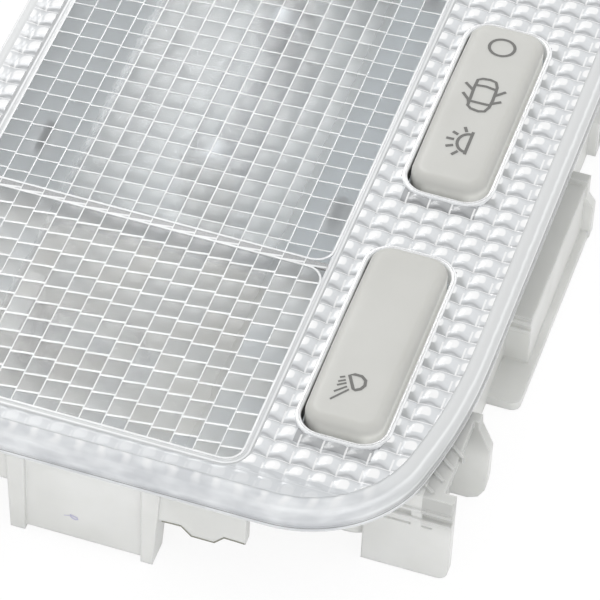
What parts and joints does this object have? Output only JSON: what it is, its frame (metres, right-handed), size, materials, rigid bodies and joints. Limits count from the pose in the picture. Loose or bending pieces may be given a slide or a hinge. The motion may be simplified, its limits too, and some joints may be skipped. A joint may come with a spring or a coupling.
{
  "type": "car dome light",
  "caption": "Car roof dome light with a clear prismatic cover, rocker switches, a dome bulb and reading bulbs in a snap-in housing.",
  "frame": {"origin": "middle of the cover in plan, level with the lowest feet of the housing", "axes": "+X across the light towards the rocker switches, +Y along the light away from the near reading lamp, +Z out of the clear cover"},
  "size_m": [0.0904, 0.1588, 0.0233],
  "materials": {
    "clear_cover": "clear polished moulding with prismatic optics",
    "housing_plastic": "translucent warm grey moulding, fine satin",
    "rocker_plastic": "satin warm grey with dark grey pictograms",
    "plunger_steel": "turned steel",
    "spring_steel": "drawn wire",
    "contact_brass": "stamped sheet",
    "strip_brass": "stamped sheet",
    "bulb_glass": "clear blown glass",
    "cap_metal": "nickel-plated cap",
    "filament_wire": "drawn wire",
    "holder_plastic": "heat-resistant light grey moulding"
  },
  "bodies": {
    "base": {"lens": "clear_cover", "housing": "housing_plastic", "dome_bulb_glass": "bulb_glass", "dome_bulb_caps": "cap_metal", "dome_bulb_filament": "filament_wire", "dome_contact_live": "contact_brass", "dome_contact_return": "contact_brass", "near_bulb_glass": "bulb_glass", "near_bulb_filament": "filament_wire", "near_holder": "holder_plastic", "near_holder_contacts": "contact_brass", "far_bulb_glass": "bulb_glass", "far_bulb_filament": "filament_wire", "far_holder": "holder_plastic", "far_holder_contacts": "contact_brass", "live_strip": "strip_brass", "earth_strip": "strip_brass", "door_strip": "strip_brass", "dome_return_strip": "strip_brass", "near_feed_strip": "strip_brass", "far_feed_strip": "strip_brass"},
    "centre_switch": {"centre_rocker": "rocker_plastic", "centre_plunger": "plunger_steel", "centre_spring": "spring_steel", "centre_bridge": "contact_brass"},
    "near_switch": {"near_rocker": "rocker_plastic", "near_plunger": "plunger_steel", "near_spring": "spring_steel", "near_bridge": "contact_brass"},
    "far_switch": {"far_rocker": "rocker_plastic", "far_plunger": "plunger_steel", "far_spring": "spring_steel", "far_bridge": "contact_brass"}
  },
  "joints": [
    {"name": "centre_rocker_tilt", "type": "hinge", "parent": "base", "child": "centre_switch", "pos_m": [0.0273, 0, 0.0156], "axis": [1, 0, 0], "range_deg": [-6, 6]},
    {"name": "near_rocker_tilt", "type": "hinge", "parent": "base", "child": "near_switch", "pos_m": [0.0273, -0.0477, 0.0156], "axis": [1, 0, 0], "range_deg": [-6, 6]},
    {"name": "far_rocker_tilt", "type": "hinge", "parent": "base", "child": "far_switch", "pos_m": [0.0273, 0.0477, 0.0156], "axis": [1, 0, 0], "range_deg": [-6, 6]}
  ]
}
